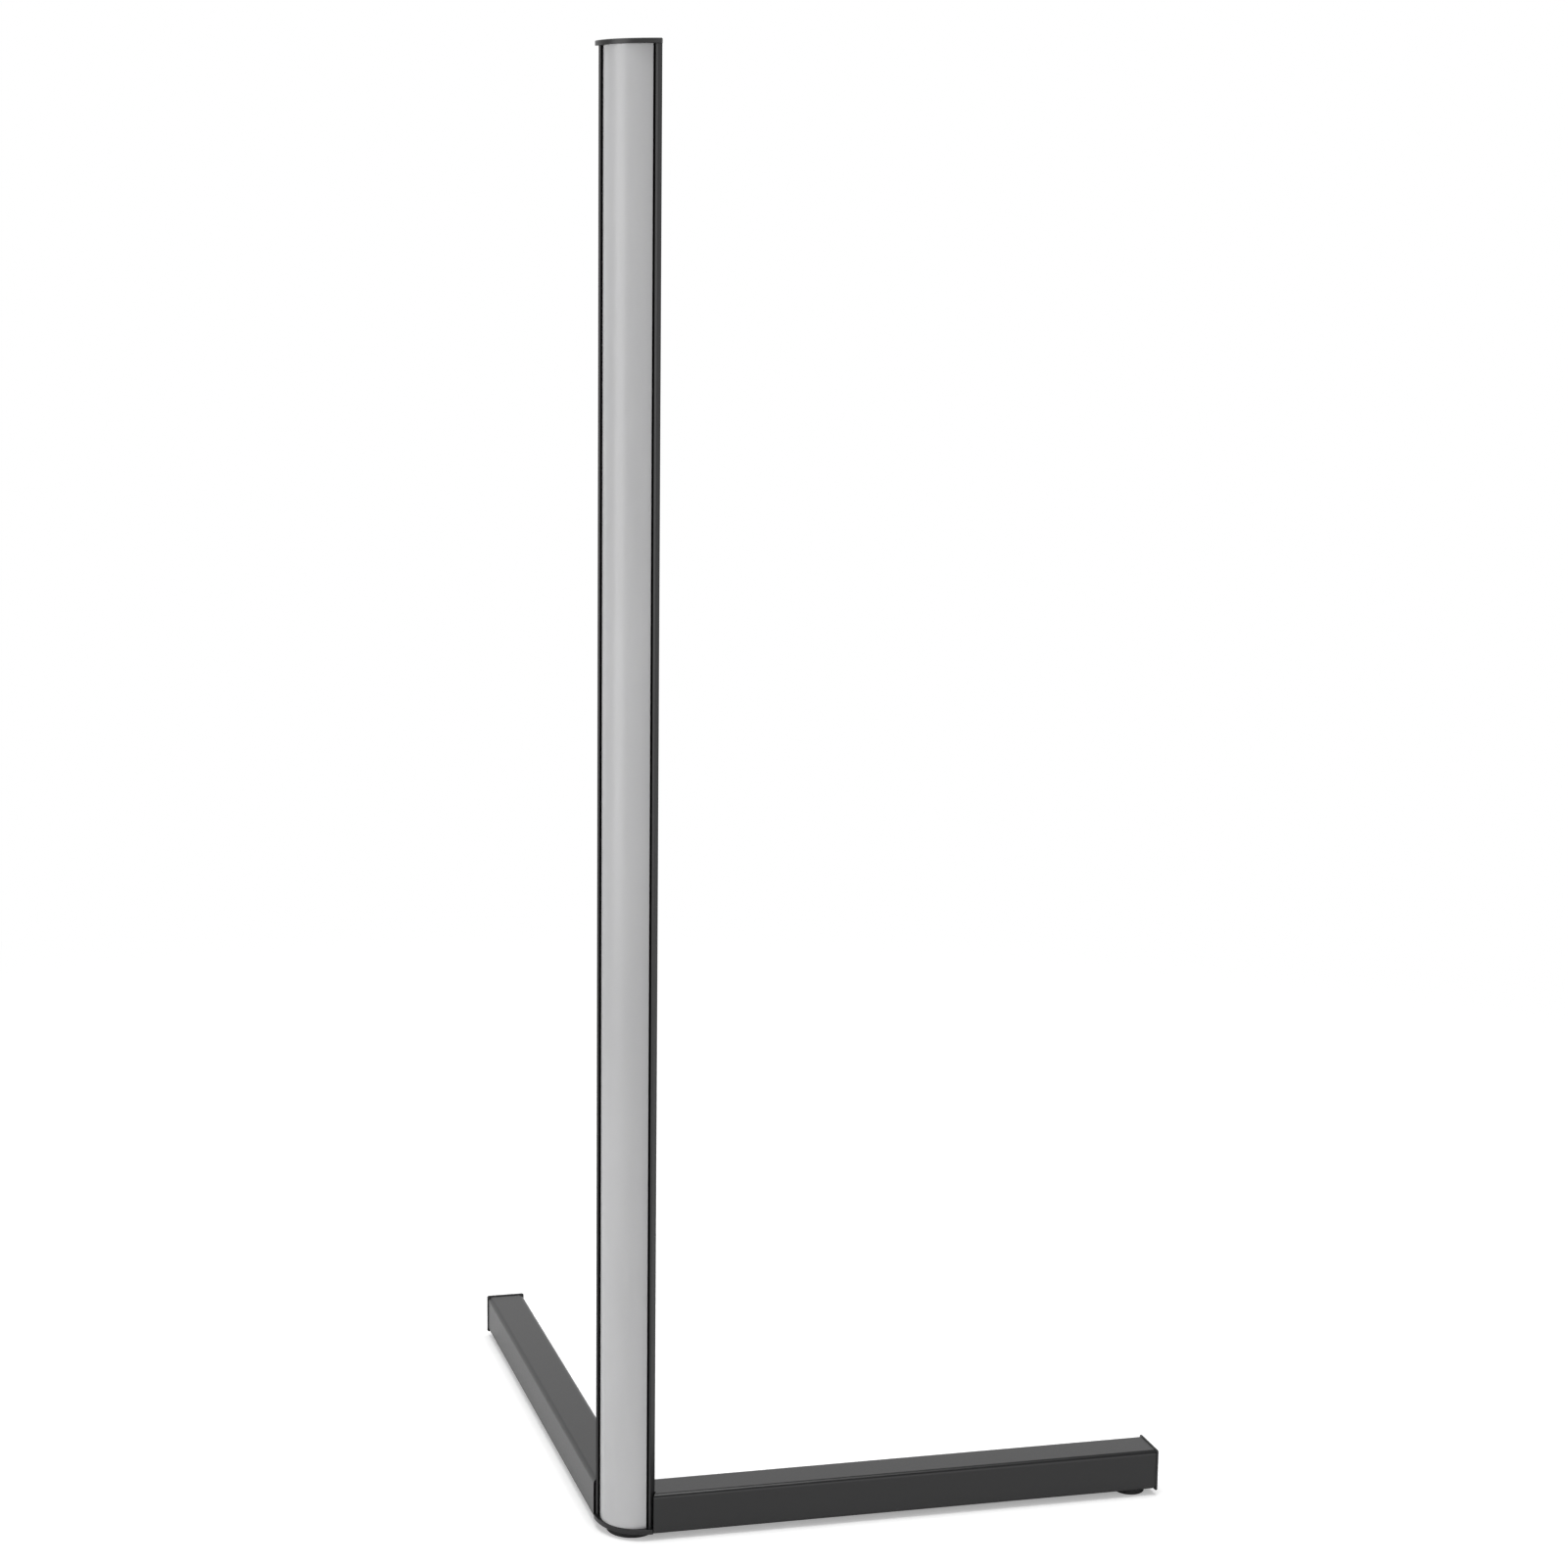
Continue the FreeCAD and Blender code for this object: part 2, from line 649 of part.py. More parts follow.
def make_lead(label, side):
    """A flat lead from a solder tab, slantwise up to its pad at the lower end of the strip."""
    body = new_body(label)
    middle = "%sinlet_tab_spacing / 2" % side
    tab = "(post_back - inlet_length - inlet_tab_length / 2)"
    start = "(inlet_height + inlet_tab_thick / 2)"
    face = "(%s - lead_thick / 2)" % STRIP_FACE
    bend = "(%s + lead_rise)" % start
    spine = new_sketch(body, "YZ_Plane", middle)
    outline(
        spine,
        [
            (tab, start),
            (tab, bend),
            (face, "%s + %s - %s" % (bend, face, tab)),
            (face, "%s + led_first / 2" % STRIP_START),
        ],
        closed=False,
    )
    section = new_sketch(body, "XY_Plane", start)
    box(
        section,
        "%s - lead_width / 2" % middle,
        "%s - lead_thick / 2" % tab,
        "%s + lead_width / 2" % middle,
        "%s + lead_thick / 2" % tab,
    )
    feature = body.newObject("PartDesign::AdditivePipe", body.Name + "_pipe")
    feature.Profile = section
    feature.Spine = spine
    feature.Transition = "Right corner"
    doc.recompute()
    return put_in_post(body)


# ---- base ----


def make_leg_tube(label, side, rotation):
    """A leg: square tube along its own X axis, mitred on the diagonal and notched for the
    post. side is 1 where the other leg lies towards +Y and -1 where it lies towards -Y."""
    body = new_body(label)
    sign = "" if side > 0 else "-"
    section = new_sketch(body, "YZ_Plane")
    rounded_square(section, HALF_TUBE, "tube_corner")
    bevelled_square(section, TUBE_INSIDE, "tube_inner_bevel")
    section.setExpression(".AttachmentOffset.Base.y", size("foot_height + tube_size / 2"))
    pad(section, TUBE_END)
    # the notch narrows towards its back, as the plate under the post does
    back = "((post_back + notch_gap) * sqrt(2))"
    reach = "(notch_back_half * sqrt(2))"
    mouth = "(notch_half * sqrt(2) - %s)" % HALF_TUBE
    corner = new_sketch(body, "XY_Plane")
    points = [
        ("cut_reach + mitre_gap", "cut_reach"),
        ("(%s + mitre_gap) / 2" % back, "(%s - mitre_gap) / 2" % back),
        ("(%s + %s) / 2" % (back, reach), "(%s - %s) / 2" % (back, reach)),
        (mouth, "-" + HALF_TUBE),
        (mouth, "-cut_reach"),
        ("-cut_reach", "-cut_reach"),
        ("-cut_reach", "cut_reach"),
    ]
    outline(corner, [(x, "%s(%s)" % (sign, y)) for x, y in points])
    pocket(corner)
    holes = new_sketch(body, "XY_Plane")
    for place in ("leg_screw_first", "leg_screw_first + leg_screw_step"):
        ring(holes, place, "0", "bolt_size / 2 + screw_gap")
    hexagon(holes, "insert_body + 2 * screw_gap", LEG_FOOT)
    diamond(holes, FOOT_XY, sign + FOOT_XY, "spigot_half + fit_gap")
    pocket(holes, "foot_height + tube_wall + fit_gap", True)
    return put(body, rotation=rotation)


def make_corner_joint():
    """The cast joint inside the tubes: two cored arms, the seat for the post and a spigot."""
    body = new_body("corner_joint")
    seat = "(post_back * sqrt(2))"
    plan = new_sketch(body, "XY_Plane", JOINT_BASE)
    outline(
        plan,
        [
            (seat + " + " + SLIP, "-" + SLIP),
            ("joint_arm", "-" + SLIP),
            ("joint_arm", SLIP),
            (SLIP, SLIP),
            (SLIP, "joint_arm"),
            ("-" + SLIP, "joint_arm"),
            ("-" + SLIP, seat + " + " + SLIP),
        ],
    )
    pad(plan, "tube_size - 2 * tube_wall - 2 * fit_gap")
    end = value("joint_arm") - NEAR

    def along_a_tube(room):
        level = room.ZLength < NEAR and min(room.XLength, room.YLength) < NEAR
        return level and room.XMin < end and room.YMin < end

    set_edge(body, "joint_bevel", along_a_tube)
    spigot = new_sketch(body, "XY_Plane", "foot_height")
    diamond(spigot, FOOT_XY, FOOT_XY, "spigot_half")
    pad(spigot, "tube_wall + fit_gap + spigot_root")
    # each arm is cored from above, in two cells with a cross rib between them
    side = "(%s - joint_wall)" % SLIP
    first = "(%s + %s + joint_front * sqrt(2))" % (seat, side)
    last = "(joint_arm - joint_wall)"
    rib = "((%s + %s) / 2)" % (first, last)
    cells = ((first, "(%s - joint_rib / 2)" % rib), ("(%s + joint_rib / 2)" % rib, last))
    cores = new_sketch(body, "XY_Plane", JOINT_BASE + " + joint_floor")
    for near, far in cells:
        box(cores, near, "-" + side, far, side)
        box(cores, "-" + side, near, side, far)
    pocket(cores, "tube_size", True)
    low = new_sketch(body, "XY_Plane")
    for place in ("leg_screw_first", "(leg_screw_first + leg_screw_step)"):
        ring(low, place, "0", "bolt_size / 2 + screw_gap")
        ring(low, "0", place, "bolt_size / 2 + screw_gap")
    pocket(low, JOINT_BASE + " + joint_floor + thread_spare", True)
    tapped = new_sketch(body, "XY_Plane")
    ring(tapped, FOOT_XY, FOOT_XY, "bolt_size / 2 + screw_gap")
    pocket(tapped, "foot_recess + foot_screw_length + thread_spare", True)
    face = body.newObject("Sketcher::SketchObject", "corner_joint_seat")
    face.AttachmentSupport = [(plane(body, "XZ_Plane"), "")]
    face.MapMode = "FlatFace"
    face.AttachmentOffset = FreeCAD.Placement(ORIGIN, SEAT_TURN)
    face.setExpression(".AttachmentOffset.Base.x", size("post_back * sqrt(0.5)"))
    face.setExpression(".AttachmentOffset.Base.z", size("-post_back * sqrt(0.5)"))
    for level in ("bolt_low", "bolt_low + bolt_up"):
        ring(face, "0", level, "bolt_size / 2 + screw_gap")
    pocket(face, "bolt_length - web_wall + thread_spare")
    return put(body)


def make_end_cap(label, rotation):
    """The moulded cap in a leg's end: a plate just proud of the tube and a ribbed plug."""
    body = new_body(label)
    plate = new_sketch(body, "YZ_Plane", TUBE_END)
    rounded_square(plate, "(tube_size / 2 + cap_proud)", "cap_corner")
    plate.setExpression(".AttachmentOffset.Base.y", size("foot_height + tube_size / 2"))
    pad(plate, "cap_thick")
    plug = new_sketch(body, "YZ_Plane", TUBE_END)
    inside = "(%s - cap_wall)" % SLIP
    bevelled_square(plug, SLIP, "plug_bevel")
    box(plug, "-" + inside, "-" + inside, inside, inside)
    plug.setExpression(".AttachmentOffset.Base.y", size("foot_height + tube_size / 2"))
    pad(plug, "cap_plug", True)
    ribs = new_sketch(body, "YZ_Plane", TUBE_END)
    reach = "(%s - cap_wall / 2)" % SLIP
    middle = "(foot_height + tube_size / 2)"
    box(ribs, "-cap_rib / 2", middle + " - " + reach, "cap_rib / 2", middle + " + " + reach)
    pad(ribs, "cap_plug", True)
    shelf = new_sketch(body, "YZ_Plane", TUBE_END)
    box(shelf, "-" + reach, middle + " - cap_rib / 2", reach, middle + " + cap_rib / 2")
    pad(shelf, "cap_plug", True)
    return put(body, rotation=rotation)


def make_foot(label, diameter, x, y):
    """A rubber foot. A recess grips its screw's head, so the foot turns its own screw."""
    body = new_body(label)
    disc = new_sketch(body, "XY_Plane")
    ring(disc, "0", "0", "%s / 2" % diameter)
    ring(disc, "0", "0", "bolt_size / 2 + screw_gap")
    pad(disc, "foot_height")
    recess = new_sketch(body, "XY_Plane")
    hexagon(recess, "hex_head + 2 * fit_gap")
    pocket(recess, "foot_recess", True)
    return put(body, x, y)


def hexagon_screw(body, length):
    """A screw with its head's seat at height 0, its shank above and a hexagon head below."""
    head = new_sketch(body, "XY_Plane")
    hexagon(head, "hex_head")
    pad(head, "hex_head_thick", True)
    shank = new_sketch(body, "XY_Plane")
    ring(shank, "0", "0", "bolt_size / 2")
    pad(shank, length)


def make_foot_screw(label, x, y):
    body = new_body(label)
    hexagon_screw(body, "foot_screw_length")
    return put(body, x, y, "foot_recess")


def make_rivet_nut(label, x, y, rotation):
    """The hexagon insert that takes a leg's foot screw, set in the tube's lower wall."""
    body = new_body(label)
    wall = "(tube_wall + screw_gap)"
    neck = new_sketch(body, "XY_Plane")
    hexagon(neck, "insert_body")
    pad(neck, wall)
    bulge = new_sketch(body, "XY_Plane", wall)
    hexagon(bulge, "insert_bulge")
    pad(bulge, "insert_length - " + wall)
    bore = new_sketch(body, "XY_Plane")
    ring(bore, "0", "0", "bolt_size / 2 + screw_gap")
    pocket(bore)
    return put(body, x, y, "foot_height", rotation)


def make_leg_screws(label, rotation):
    body = new_body(label)
    hexagon_screw(body, "leg_screw_length")
    repeat(body, "X_Axis", "leg_screw_step", "2")
    along = rotation.multVec(ACROSS)
    x = "leg_screw_first * %d" % round(along.x)
    y = "leg_screw_first * %d" % round(along.y)
    return put(body, x, y, "foot_height", rotation)


def make_post_bolts():
    body = new_body("post_bolts")
    hexagon_screw(body, "bolt_length")
    repeat(body, "Y_Axis", "bolt_up", "2")
    # the bolts point inward: their own up is the diagonal, and their own Y is down
    return put_in_post(body, "0", WEB, "bolt_low + bolt_up", INLET_TURN)


ALONG_X = FreeCAD.Rotation()
ALONG_Y = FreeCAD.Rotation(UP, 90)

pieces = [
    make_post(),
    make_diffuser(),
    make_top_cap(),
    make_plate_screws("top_cap_screws", "overall_height", FreeCAD.Rotation()),
    make_bottom_plate(),
    make_plate_screws("bottom_plate_screws", "foot_height", FreeCAD.Rotation(ACROSS, 180)),
    make_light_strip(),
    make_light_packages(),
    make_power_inlet(),
    make_inlet_nut(),
    make_lead("supply_lead", ""),
    make_lead("return_lead", "-"),
    make_post_bolts(),
    make_corner_joint(),
    make_leg_tube("right_leg_tube", 1, ALONG_X),
    make_leg_tube("left_leg_tube", -1, ALONG_Y),
    make_leg_screws("right_leg_screws", ALONG_X),
    make_leg_screws("left_leg_screws", ALONG_Y),
    make_end_cap("right_end_cap", ALONG_X),
    make_end_cap("left_end_cap", ALONG_Y),
    make_foot("corner_foot", "corner_foot", FOOT_XY, FOOT_XY),
    make_foot("right_foot", "leg_foot", LEG_FOOT, "0"),
    make_foot("left_foot", "leg_foot", "0", LEG_FOOT),
    make_foot_screw("corner_foot_screw", FOOT_XY, FOOT_XY),
    make_foot_screw("right_foot_screw", LEG_FOOT, "0"),
    make_foot_screw("left_foot_screw", "0", LEG_FOOT),
    make_rivet_nut("right_rivet_nut", LEG_FOOT, "0", ALONG_X),
    make_rivet_nut("left_rivet_nut", "0", LEG_FOOT, ALONG_Y),
]

doc.recompute()
for item in doc.Objects:
    if "Invalid" in item.State or "Error" in item.State:
        raise RuntimeError("%s did not build: %s" % (item.Label, item.State))
for piece in pieces:
    if piece.Shape.isNull() or not piece.Shape.isValid():
        raise RuntimeError("%s has no valid shape" % piece.Label)

os.makedirs("parts", exist_ok=True)
for piece in pieces:
    piece.Shape.exportStep("parts/%s.step" % piece.Label)
    room = piece.Shape.BoundBox
    print(
        "%-20s solids %2d  volume %9.0f  x %.1f..%.1f  y %.1f..%.1f  z %.1f..%.1f"
        % (piece.Label, len(piece.Shape.Solids), piece.Shape.Volume,
           room.XMin, room.XMax, room.YMin, room.YMax, room.ZMin, room.ZMax)
    )
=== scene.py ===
import math

import bmesh
import bpy
from mathutils import Matrix, Vector


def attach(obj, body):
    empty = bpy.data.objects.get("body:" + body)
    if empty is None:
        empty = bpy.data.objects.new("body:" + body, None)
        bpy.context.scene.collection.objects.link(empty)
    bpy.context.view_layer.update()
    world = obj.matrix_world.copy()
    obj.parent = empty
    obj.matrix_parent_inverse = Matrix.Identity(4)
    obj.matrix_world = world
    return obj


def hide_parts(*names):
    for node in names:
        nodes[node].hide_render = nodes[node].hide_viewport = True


# A corner floor lamp, unlit, on a pale studio floor. Metres; +X runs along the right leg and +Y
# along the left leg, and the post stands where they cross and faces out of the corner.
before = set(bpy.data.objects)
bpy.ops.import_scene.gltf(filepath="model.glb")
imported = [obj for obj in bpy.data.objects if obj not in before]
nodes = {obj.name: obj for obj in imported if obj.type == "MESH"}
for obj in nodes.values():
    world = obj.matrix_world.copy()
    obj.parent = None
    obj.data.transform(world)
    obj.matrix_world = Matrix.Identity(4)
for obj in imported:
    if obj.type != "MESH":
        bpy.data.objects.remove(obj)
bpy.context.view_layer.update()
mm = 0.001
print("frame loaded:", len(nodes), "nodes")

# the camera comes first, at the photograph's viewing angle; its shift is kept small, so that the
# whole lamp also shows from the other sides
camera = {
    "place": (-0.6555, -2.6186, 1.2363),
    "yaw": 11.084,
    "pitch": 9.666,
    "roll": -0.307,
    "lens": 68.57,
    "sensor": 36.0,
    "shift": (0.20, -0.03),
    "clip": (0.05, 60),
}


def makeCamera():
    yaw, pitch, roll = (math.radians(camera[name]) for name in ("yaw", "pitch", "roll"))
    level = math.cos(pitch)
    ahead = Vector((math.sin(yaw) * level, math.cos(yaw) * level, -math.sin(pitch)))
    right = Vector((math.cos(yaw), -math.sin(yaw), 0))
    up = right.cross(ahead)
    tiltedRight = right * math.cos(roll) + up * math.sin(roll)
    tiltedUp = up * math.cos(roll) - right * math.sin(roll)
    turn = Matrix((tiltedRight, tiltedUp, -ahead)).transposed().to_4x4()
    data = bpy.data.cameras.new("photoCamera")
    data.lens = camera["lens"]
    data.sensor_width = camera["sensor"]
    data.shift_x, data.shift_y = camera["shift"]
    data.clip_start, data.clip_end = camera["clip"]
    item = bpy.data.objects.new("photoCamera", data)
    bpy.context.scene.collection.objects.link(item)
    item.matrix_world = Matrix.Translation(camera["place"]) @ turn
    bpy.context.scene.camera = item
    print("camera ready")


makeCamera()


def linear(code):
    # an sRGB hex colour as linear RGBA
    channels = [int(code[place : place + 2], 16) / 255 for place in (1, 3, 5)]
    bent = [c / 12.92 if c <= 0.04045 else ((c + 0.055) / 1.055) ** 2.4 for c in channels]
    return (*bent, 1.0)


def addNode(tree, kind, settings=None, inputs=None, links=None):
    node = tree.nodes.new(kind)
    for name, setting in (settings or {}).items():
        setattr(node, name, setting)
    for name, number in (inputs or {}).items():
        node.inputs[name].default_value = number
    for name, source in (links or {}).items():
        tree.links.new(source, node.inputs[name])
    return node


def newMaterial(name, shader):
    material = bpy.data.materials.new(name)
    material.use_nodes = True
    tree = material.node_tree
    tree.nodes.clear()
    output = addNode(tree, "ShaderNodeOutputMaterial")
    surface = addNode(tree, "ShaderNodeBsdfPrincipled", inputs=shader)
    tree.links.new(surface.outputs["BSDF"], output.inputs["Surface"])
    place = addNode(tree, "ShaderNodeTexCoord").outputs["Object"]
    return material, tree, surface, place


grainRoughness = 0.55
toneRange = (0.35, 0.65)  # where on a grain's range the dark and the light shade are reached


def grain(tree, place, size, stretch=(1, 1, 1), detail=3.0):
    # lumps that are size millimetres wide, drawn out by stretch
    mapped = addNode(
        tree,
        "ShaderNodeMapping",
        inputs={"Scale": tuple(1 / share for share in stretch)},
        links={"Vector": place},
    )
    lumps = addNode(
        tree,
        "ShaderNodeTexNoise",
        inputs={"Scale": 1 / (size * mm), "Detail": detail, "Roughness": grainRoughness},
        links={"Vector": mapped.outputs["Vector"]},
    )
    return lumps.outputs["Fac"]


def layFinish(tree, surface, tone, lumps, look):
    # tone runs between the two shades. lumps give the relief, which is only what is too fine for
    # the mesh, and run between the two ends of the roughness where the look has them
    ramp = addNode(tree, "ShaderNodeValToRGB", links={"Fac": tone})
    for stop, place, code in zip(ramp.color_ramp.elements, toneRange, look["shades"]):
        stop.position, stop.color = place, linear(code)
    tree.links.new(ramp.outputs["Color"], surface.inputs["Base Color"])
    relief = addNode(
        tree,
        "ShaderNodeBump",
        inputs={"Strength": 1.0, "Distance": look["depth"] * mm},
        links={"Height": lumps},
    )
    tree.links.new(relief.outputs["Normal"], surface.inputs["Normal"])
    if "roughness" in look:
        low, high = look["roughness"]
        gloss = addNode(
            tree,
            "ShaderNodeMapRange",
            inputs={"To Min": low, "To Max": high},
            links={"Value": lumps},
        )
        tree.links.new(gloss.outputs["Result"], surface.inputs["Roughness"])
    return ramp.outputs["Color"]


powderCoat = {
    "shades": ("#121213", "#19191a"),
    "peel": 1.6,  # mm
    "speck": 0.35,  # mm, coarser than real powder grain, which wouldn't show even close up
    "roughness": (0.27, 0.37),
    "depth": 0.012,  # mm
    "index": 1.5,
}


def makePowderCoat(name):
    # polyester powder, baked on steel: satin, with a faint orange peel that softens reflections
    material, tree, surface, place = newMaterial(name, {"IOR": powderCoat["index"]})
    peel = grain(tree, place, powderCoat["peel"], detail=2)
    speck = grain(tree, place, powderCoat["speck"])
    layFinish(tree, surface, speck, peel, powderCoat)
    return material


anodised = {
    "shades": ("#171718", "#1f1f20"),
    "lineWidth": 0.4,  # mm, coarser than real die lines, so that they show close up
    "lineLength": 120,  # times its width
    "roughness": (0.34, 0.44),
    "depth": 0.004,  # mm
    "index": 1.45,
}


def makeAnodised():
    # extruded aluminium, etched and black anodised: fine die lines run the length of the post
    material, tree, surface, place = newMaterial("blackAnodised", {"IOR": anodised["index"]})
    stretch = (1, 1, anodised["lineLength"])
    lines = grain(tree, place, anodised["lineWidth"], stretch=stretch)
    layFinish(tree, surface, lines, lines, anodised)
    return material


opal = {
    "shades": ("#bbbbbc", "#c2c2c3"),
    # painted shade: the legs that clip into the post, behind this depth in the post, are coloured
    # near black to stand in for the shade in the grooves beside them
    "legs": "#0e0e0f",
    "grooveShadeDepth": 4.95,  # mm
    "cloud": 60,  # mm, the slow unevenness of the extrusion
    "cloudLength": 6,  # times its width
    "frost": 0.5,  # mm, coarser than real frosting, so that it shows close up
    "depth": 0.006,  # mm
    "sheen": 0.31,  # its roughness, the same all over
    "index": 1.58,
    "scatter": 0.25,
    "scatterReach": (3, 3, 3.4),  # mm
}


def makeOpal():
    # extruded opal polycarbonate, frosted outside: milky, with a broad soft sheen
    shader = {
        "Roughness": opal["sheen"],
        "IOR": opal["index"],
        "Subsurface Weight": opal["scatter"],
        "Subsurface Radius": tuple(reach * mm for reach in opal["scatterReach"]),
        "Subsurface Scale": 1.0,
    }
    material, tree, surface, place = newMaterial("opalPolycarbonate", shader)
    cloud = grain(tree, place, opal["cloud"], stretch=(1, 1, opal["cloudLength"]), detail=2)
    frost = grain(tree, place, opal["frost"])
    milk = layFinish(tree, surface, cloud, frost, opal)
    # the depth is measured inward along the diagonal, where x + y is its length times root two
    sides = addNode(tree, "ShaderNodeSeparateXYZ", links={"Vector": place}).outputs
    inward = addNode(
        tree, "ShaderNodeMath", {"operation": "ADD"}, links={0: sides["X"], 1: sides["Y"]}
    )
    # painted shade: past the depth, the opal's colour gives way to the near-black groove shade
    behind = addNode(
        tree,
        "ShaderNodeMath",
        {"operation": "GREATER_THAN"},
        {1: opal["grooveShadeDepth"] * mm * math.sqrt(2)},
        {0: inward.outputs["Value"]},
    )
    # socket 0 is the share, and 6 and 7 are the two colours
    both = addNode(
        tree,
        "ShaderNodeMix",
        {"data_type": "RGBA"},
        {7: linear(opal["legs"])},
        {0: behind.outputs["Value"], 6: milk},
    )
    tree.links.new(both.outputs[2], surface.inputs["Base Color"])
    return material


def makePlain(name, shades, lumpSize, roughness, depth, shader=None):
    # a moulded, cast or plated surface: one grain drives its shade, gloss and relief. the lumps'
    # size and the depth are in millimetres, and lumps finer than 0.4 mm are drawn that coarse, so
    # that they show close up
    material, tree, surface, place = newMaterial(name, shader or {})
    lumps = grain(tree, place, lumpSize)
    look = {"shades": shades, "roughness": roughness, "depth": depth}
    layFinish(tree, surface, lumps, lumps, look)
    return material


metal = {"Metallic": 1.0}
finishes = {
    "legPowderCoat": makePowderCoat("legPowderCoat"),
    "platePowderCoat": makePowderCoat("platePowderCoat"),
    "anodised": makeAnodised(),
    "opal": makeOpal(),
    # polypropylene, moulded with a spark-eroded grain: an even, low sheen
    "cap": makePlain("mouldedPolypropylene", ("#1b1b1c", "#242425"), 0.4, (0.28, 0.38), 0.008),
    # rubber: nearly no gloss, and a dusty bloom
    "rubber": makePlain("vulcanisedRubber", ("#161617", "#222223"), 0.8, (0.72, 0.9), 0.02),
    # black oxide on steel: thin and slightly brown in the light
    "blackOxide": makePlain(
        "blackOxideSteel", ("#2a2928", "#3a3836"), 0.5, (0.3, 0.45), 0.004, metal
    ),
    # zinc plate on steel: bright, with a soft mirror
    "zinc": makePlain("brightZincPlate", ("#a6abb0", "#c3c7ca"), 1.2, (0.22, 0.36), 0.004, metal),
    # pressure die-cast zinc alloy, tumbled: dull grey with soft flow marks
    "casting": makePlain(
        "tumbledDieCasting", ("#85888b", "#a0a3a6"), 2.5, (0.42, 0.58), 0.02, metal
    ),
    # solder mask over a polyimide film: plain white, half matt
    "film": makePlain("whiteSolderMask", ("#dcdcd6", "#e8e8e3"), 2.0, (0.35, 0.5), 0.004),
    # phosphor-filled silicone in a white package: yellow and smooth
    "phosphor": makePlain("phosphorSilicone", ("#d9bd4e", "#e9d36c"), 0.6, (0.25, 0.35), 0.004),
    # glass-filled nylon: black, with a slight haze of fibres
    "nylon": makePlain("blackNylon", ("#1b1b1c", "#262627"), 0.5, (0.35, 0.5), 0.008),
    # soft PVC sheaths: smooth, with a low shine
    "redSheath": makePlain("redVinylSheath", ("#8e1414", "#a31c1a"), 1.0, (0.3, 0.42), 0.004),
    "blackSheath": makePlain("blackVinylSheath", ("#141415", "#1f1f20"), 1.0, (0.3, 0.42), 0.004),
}
print("materials ready:", len(finishes))

finishOfNode = {
    "post_profile": "anodised",
    "diffuser": "opal",
    "top_cap": "platePowderCoat",
    "bottom_plate": "platePowderCoat",
    "right_leg_tube": "legPowderCoat",
    "left_leg_tube": "legPowderCoat",
    "right_end_cap": "cap",
    "left_end_cap": "cap",
    "corner_foot": "rubber",
    "right_foot": "rubber",
    "left_foot": "rubber",
    "corner_joint": "casting",
    "light_strip": "film",
    "light_packages": "phosphor",
    "power_inlet": "nylon",
    "inlet_nut": "zinc",
    "right_rivet_nut": "zinc",
    "left_rivet_nut": "zinc",
    "supply_lead": "redSheath",
    "return_lead": "blackSheath",
}


def dress(item, name):
    # every bolt and screw is black oxide
    item.data.materials.clear()
    item.data.materials.append(finishes[finishOfNode.get(name, "blackOxide")])


for name, node in nodes.items():
    dress(node, name)
print("nodes dressed")

# pieces whose outer edges are broken, as moulding, turning and deburring leave them
softEdges = {
    # node: width of its broken edges in mm, its material slot, and for an end cap the axis of its
    # tube, because only the cap's plate has broken edges and its plug stays plain
    "top_cap": (0.5, "plate_coat", None),
    "bottom_plate": (0.35, "plate_coat", None),
    "right_end_cap": (0.6, "cap_plastic", 0),
    "left_end_cap": (0.6, "cap_plastic", 1),
    "corner_foot": (0.9, "foot_rubber", None),
    "right_foot": (0.9, "foot_rubber", None),
    "left_foot": (0.9, "foot_rubber", None),
    "top_cap_screws": (0.25, "dark_screw", None),
    "bottom_plate_screws": (0.25, "dark_screw", None),
    "power_inlet": (0.25, "inlet_plastic", None),
}
capPlate = 2.1  # mm from the outside of an end cap to just behind its plate
edgeSteps = 3
edgeAngle = math.radians(35)  # a sharper turn than this is an edge
flatAngle = math.radians(0.4)  # triangles within this angle make one face


def soften(name, width, axis):
    form = bmesh.new()
    form.from_mesh(nodes[name].data)
    bmesh.ops.remove_doubles(form, verts=form.verts, dist=0.001 * mm)
    bmesh.ops.join_triangles(
        form, faces=form.faces, angle_face_threshold=flatAngle, angle_shape_threshold=math.pi
    )
    outer = [e for e in form.edges if e.is_manifold and e.is_convex]
    sharp = [e for e in outer if e.calc_face_angle() > edgeAngle]
    if axis is not None:
        start = max(v.co[axis] for v in form.verts) - capPlate * mm
        sharp = [e for e in sharp if min(v.co[axis] for v in e.verts) > start]
    bmesh.ops.bevel(
        form,
        geom=sharp,
        offset=width * mm,
        affect="EDGES",
        segments=edgeSteps,
        profile=0.5,
        material=-1,
        clamp_overlap=False,
    )
    mesh = bpy.data.meshes.new(name + "_soft")
    form.to_mesh(mesh)
    form.free()
    # the node's own normals no longer fit the new faces
    if "custom_normal" in mesh.attributes:
        mesh.attributes.remove(mesh.attributes["custom_normal"])
    mesh.shade_smooth()
    piece = bpy.data.objects.new(name + "_soft", mesh)
    bpy.context.scene.collection.objects.link(piece)
    piece.modifiers.new("evenShading", "WEIGHTED_NORMAL").keep_sharp = True
    dress(piece, name)
    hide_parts(name)
    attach(piece, "root")


for name, (width, slot, axis) in softEdges.items():
    soften(name, width, axis)
print("edges broken:", len(softEdges))

backdropWhite = linear("#ffffff")  # what the camera sees behind the lamp

floorLook = {
    "size": 6,
    "colour": "#f4f4f4",
    # what the camera sees on top of the floor's own light, so that it reads as white
    "lift": 0.36,
    # distances from the lamp at which the floor starts and ends its turn into plain backdrop
    "sweep": (0.9, 2.6),
}


